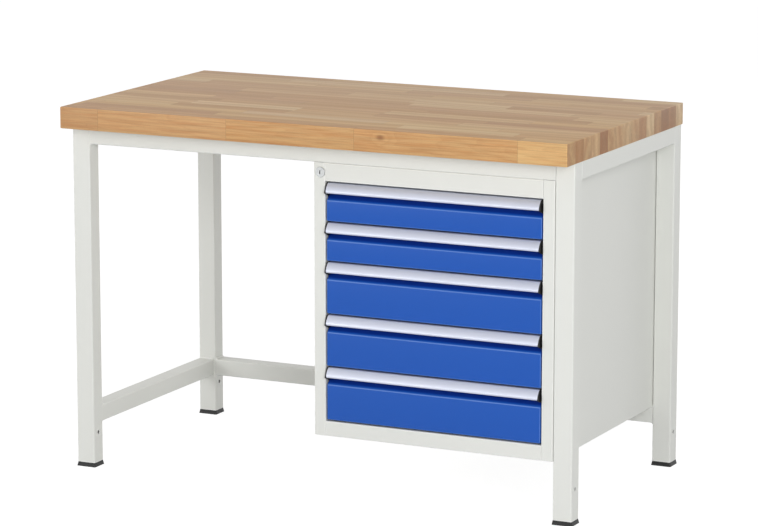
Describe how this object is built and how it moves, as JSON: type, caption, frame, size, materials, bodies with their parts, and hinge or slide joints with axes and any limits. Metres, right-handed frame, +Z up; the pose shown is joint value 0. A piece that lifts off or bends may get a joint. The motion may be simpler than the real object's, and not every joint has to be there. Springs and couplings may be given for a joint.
{
  "type": "workbench with drawers",
  "caption": "Workbench with a laminated wood top on a rectangular tube frame, and a hung cabinet of full-extension drawers with grip strips and a central lock.",
  "frame": {"origin": "on the floor, under the middle of the worktop", "axes": "+X to the right along the bench, +Y to the rear (the drawers face -Y), +Z up"},
  "size_m": [1.25, 0.68, 0.85],
  "materials": {
    "beech": "oiled laminated beech staves",
    "frame_paint": "light grey powder coat",
    "drawer_paint": "blue powder coat",
    "grip_aluminium": "satin anodised extrusion",
    "black_plastic": "black moulded plastic",
    "zinc_steel": "zinc-plated sheet",
    "lock_chrome": "nickel-plated lock"
  },
  "bodies": {
    "bench": {"worktop": "beech", "leg_front_left": "frame_paint", "leg_front_right": "frame_paint", "leg_rear_left": "frame_paint", "leg_rear_right": "frame_paint", "top_rail_front": "frame_paint", "top_rail_rear": "frame_paint", "top_rail_left": "frame_paint", "top_rail_right": "frame_paint", "low_rail_left": "frame_paint", "low_rail_rear": "frame_paint", "foot_plinths": "black_plastic", "worktop_lugs": "frame_paint", "worktop_screws": "zinc_steel", "cabinet_side_left": "frame_paint", "cabinet_side_right": "frame_paint", "cabinet_top": "frame_paint", "cabinet_bottom": "frame_paint", "cabinet_back": "frame_paint", "crossbar_upper": "frame_paint", "crossbar_lower": "frame_paint", "slide_uprights": "zinc_steel", "cabinet_slides": "zinc_steel", "cabinet_bolts": "zinc_steel", "lock_housing": "lock_chrome", "lock_fittings": "zinc_steel"},
    "lock": {"lock_plug": "lock_chrome", "lock_crank": "zinc_steel"},
    "lock_bar": {"lock_bar": "zinc_steel"},
    "drawer_1": {"drawer_1_front": "drawer_paint", "drawer_1_grip": "grip_aluminium", "drawer_1_end_caps": "black_plastic", "drawer_1_tray": "zinc_steel", "drawer_1_slides": "zinc_steel"},
    "slide_middle_1": {"middle_slides_1": "zinc_steel"},
    "drawer_2": {"drawer_2_front": "drawer_paint", "drawer_2_grip": "grip_aluminium", "drawer_2_end_caps": "black_plastic", "drawer_2_tray": "zinc_steel", "drawer_2_slides": "zinc_steel"},
    "slide_middle_2": {"middle_slides_2": "zinc_steel"},
    "drawer_3": {"drawer_3_front": "drawer_paint", "drawer_3_grip": "grip_aluminium", "drawer_3_end_caps": "black_plastic", "drawer_3_tray": "zinc_steel", "drawer_3_slides": "zinc_steel"},
    "slide_middle_3": {"middle_slides_3": "zinc_steel"},
    "drawer_4": {"drawer_4_front": "drawer_paint", "drawer_4_grip": "grip_aluminium", "drawer_4_end_caps": "black_plastic", "drawer_4_tray": "zinc_steel", "drawer_4_slides": "zinc_steel"},
    "slide_middle_4": {"middle_slides_4": "zinc_steel"},
    "drawer_5": {"drawer_5_front": "drawer_paint", "drawer_5_grip": "grip_aluminium", "drawer_5_end_caps": "black_plastic", "drawer_5_tray": "zinc_steel", "drawer_5_slides": "zinc_steel"},
    "slide_middle_5": {"middle_slides_5": "zinc_steel"}
  },
  "joints": [
    {"name": "lock_bar_lift", "type": "slide", "parent": "bench", "child": "lock_bar", "axis": [0, 0, 1], "range_m": [0, 0.00848]},
    {"name": "lock_turn", "type": "hinge", "parent": "bench", "child": "lock", "pos_m": [0.0125, -0.29, 0.7385], "axis": [0, 1, 0], "range_deg": [0, 90]},
    {"name": "drawer_1_slide", "type": "slide", "parent": "bench", "child": "drawer_1", "axis": [0, -1, 0], "range_m": [0, 0.5]},
    {"name": "middle_1_slide", "type": "slide", "parent": "bench", "child": "slide_middle_1", "axis": [0, -1, 0], "range_m": [0, 0.25]},
    {"name": "drawer_2_slide", "type": "slide", "parent": "bench", "child": "drawer_2", "axis": [0, -1, 0], "range_m": [0, 0.5]},
    {"name": "middle_2_slide", "type": "slide", "parent": "bench", "child": "slide_middle_2", "axis": [0, -1, 0], "range_m": [0, 0.25]},
    {"name": "drawer_3_slide", "type": "slide", "parent": "bench", "child": "drawer_3", "axis": [0, -1, 0], "range_m": [0, 0.5]},
    {"name": "middle_3_slide", "type": "slide", "parent": "bench", "child": "slide_middle_3", "axis": [0, -1, 0], "range_m": [0, 0.25]},
    {"name": "drawer_4_slide", "type": "slide", "parent": "bench", "child": "drawer_4", "axis": [0, -1, 0], "range_m": [0, 0.5]},
    {"name": "middle_4_slide", "type": "slide", "parent": "bench", "child": "slide_middle_4", "axis": [0, -1, 0], "range_m": [0, 0.25]},
    {"name": "drawer_5_slide", "type": "slide", "parent": "bench", "child": "drawer_5", "axis": [0, -1, 0], "range_m": [0, 0.5]},
    {"name": "middle_5_slide", "type": "slide", "parent": "bench", "child": "slide_middle_5", "axis": [0, -1, 0], "range_m": [0, 0.25]}
  ],
  "couplings": [
    {"joint": "lock_turn", "follows": "lock_bar_lift", "rad_per_m": 185.12},
    {"joint": "middle_1_slide", "follows": "drawer_1_slide", "ratio": 0.5},
    {"joint": "middle_2_slide", "follows": "drawer_2_slide", "ratio": 0.5},
    {"joint": "middle_3_slide", "follows": "drawer_3_slide", "ratio": 0.5},
    {"joint": "middle_4_slide", "follows": "drawer_4_slide", "ratio": 0.5},
    {"joint": "middle_5_slide", "follows": "drawer_5_slide", "ratio": 0.5}
  ]
}
